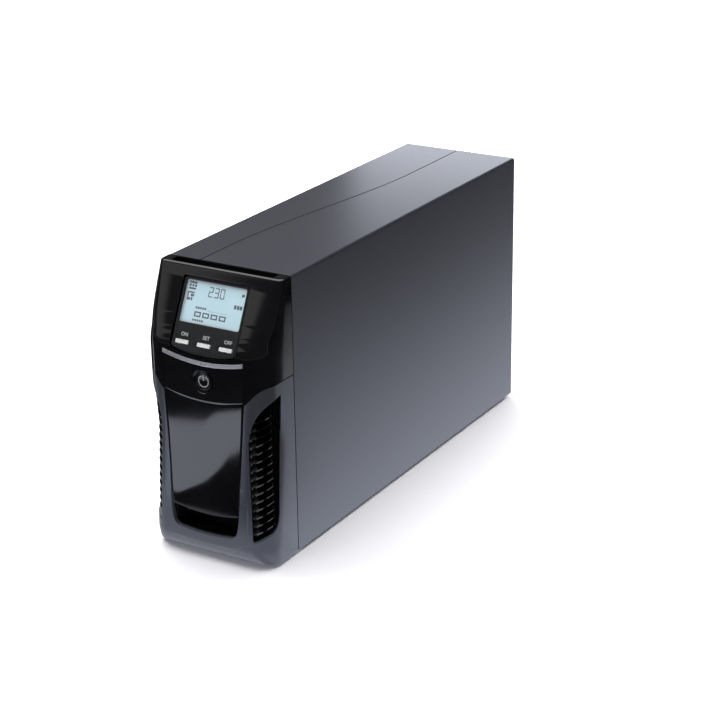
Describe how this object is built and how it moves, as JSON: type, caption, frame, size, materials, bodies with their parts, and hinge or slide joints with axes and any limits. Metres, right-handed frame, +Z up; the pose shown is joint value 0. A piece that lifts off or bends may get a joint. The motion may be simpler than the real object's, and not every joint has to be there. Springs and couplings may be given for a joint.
{
  "type": "uninterruptible power supply",
  "caption": "Slim tower power backup unit: leaning display head with keys, round power button, top-hung front door over a finger recess, side louvres, rear sockets and fan.",
  "frame": {"origin": "centre of the footprint box, at the bottom of the feet", "axes": "+Z up; the display and door face -Y; +X is to the right seen from the front; +Y runs back along the case to the sockets"},
  "size_m": [0.12, 0.4492, 0.247],
  "materials": {
    "case_paint": "satin metallic dark blue-grey paint on sheet steel",
    "bezel_grey": "satin metallic blue-grey paint on moulded plastic",
    "gloss_black": "piano black moulded plastic",
    "satin_black": "satin black moulded plastic",
    "matte_black": "fine-textured matte black plastic",
    "dark_plastic": "dark grey moulded plastic",
    "trim_silver": "satin silver lacquer",
    "key_white": "satin white plastic",
    "clear_lens": "clear acrylic",
    "lcd_glass": "lit pale blue liquid-crystal display",
    "circuit_board": "green solder mask",
    "zinc_steel": "zinc-plated steel",
    "foot_rubber": "black rubber",
    "battery_case": "dark grey battery case",
    "lead_red": "red insulated lead",
    "heatsink_aluminium": "extruded aluminium",
    "core_iron": "varnished silicon-steel laminations",
    "coil_wrap": "varnished winding wrap",
    "ribbon_grey": "grey flat ribbon cable"
  },
  "bodies": {
    "root": {"base_chassis": "zinc_steel", "left_cover": "case_paint", "right_cover": "case_paint", "rear_panel": "case_paint", "front_frame": "matte_black", "battery_bay": "zinc_steel", "front_left_foot": "foot_rubber", "front_right_foot": "foot_rubber", "rear_left_foot": "foot_rubber", "rear_right_foot": "foot_rubber", "upper_bezel": "gloss_black", "lower_bezel": "bezel_grey", "left_louvre": "matte_black", "right_louvre": "matte_black", "trim_arc": "trim_silver", "button_band": "gloss_black", "power_switch": "dark_plastic", "recess_liner": "matte_black", "display_panel": "satin_black", "lcd_lens": "clear_lens", "lcd_module": "lcd_glass", "display_board": "circuit_board", "battery_front": "battery_case", "battery_rear": "battery_case", "battery_retainer": "zinc_steel", "battery_link": "lead_red", "battery_lead_red": "lead_red", "battery_lead_black": "matte_black", "main_board": "circuit_board", "heatsink_left": "heatsink_aluminium", "heatsink_right": "heatsink_aluminium", "capacitor_1": "dark_plastic", "capacitor_2": "dark_plastic", "relay_1": "dark_plastic", "relay_2": "dark_plastic", "transformer_core": "core_iron", "transformer_coil": "coil_wrap", "ribbon_cable": "ribbon_grey", "mains_inlet": "satin_black", "breaker_body": "satin_black", "outlet_1": "satin_black", "outlet_2": "satin_black", "outlet_3": "satin_black", "outlet_4": "satin_black", "outlet_5": "satin_black", "outlet_6": "satin_black", "fan_frame": "satin_black", "fan_guard": "zinc_steel", "usb_port": "zinc_steel", "serial_port": "zinc_steel", "surge_jacks": "satin_black", "ground_screw": "zinc_steel"},
    "on_key": {"on_key": "key_white"},
    "select_key": {"select_key": "key_white"},
    "standby_key": {"standby_key": "key_white"},
    "power_button": {"power_button": "gloss_black"},
    "front_door": {"front_door": "gloss_black"},
    "fan_rotor": {"fan_rotor": "satin_black"},
    "breaker_button": {"breaker_button": "satin_black"}
  },
  "joints": [
    {"name": "on_key_press", "type": "slide", "parent": "root", "child": "on_key", "axis": [0, 0.8996, -0.4368], "range_m": [0, 0.001], "stiffness_N_per_m": 600},
    {"name": "select_key_press", "type": "slide", "parent": "root", "child": "select_key", "axis": [0, 0.8996, -0.4368], "range_m": [0, 0.001], "stiffness_N_per_m": 600},
    {"name": "standby_key_press", "type": "slide", "parent": "root", "child": "standby_key", "axis": [0, 0.8996, -0.4368], "range_m": [0, 0.001], "stiffness_N_per_m": 600},
    {"name": "power_button_press", "type": "slide", "parent": "root", "child": "power_button", "axis": [0, 1, 0], "range_m": [0, 0.002], "stiffness_N_per_m": 600},
    {"name": "front_door_hinge", "type": "hinge", "parent": "root", "child": "front_door", "pos_m": [0, -0.21725, 0.13974], "axis": [-1, 0, 0], "range_deg": [0, 75]},
    {"name": "fan_rotor_spin", "type": "hinge", "parent": "root", "child": "fan_rotor", "pos_m": [-0.02, 0.21232, 0.207], "axis": [0, 1, 0], "continuous": true},
    {"name": "breaker_button_pop", "type": "slide", "parent": "root", "child": "breaker_button", "axis": [0, 1, 0], "range_m": [0, 0.003]}
  ]
}
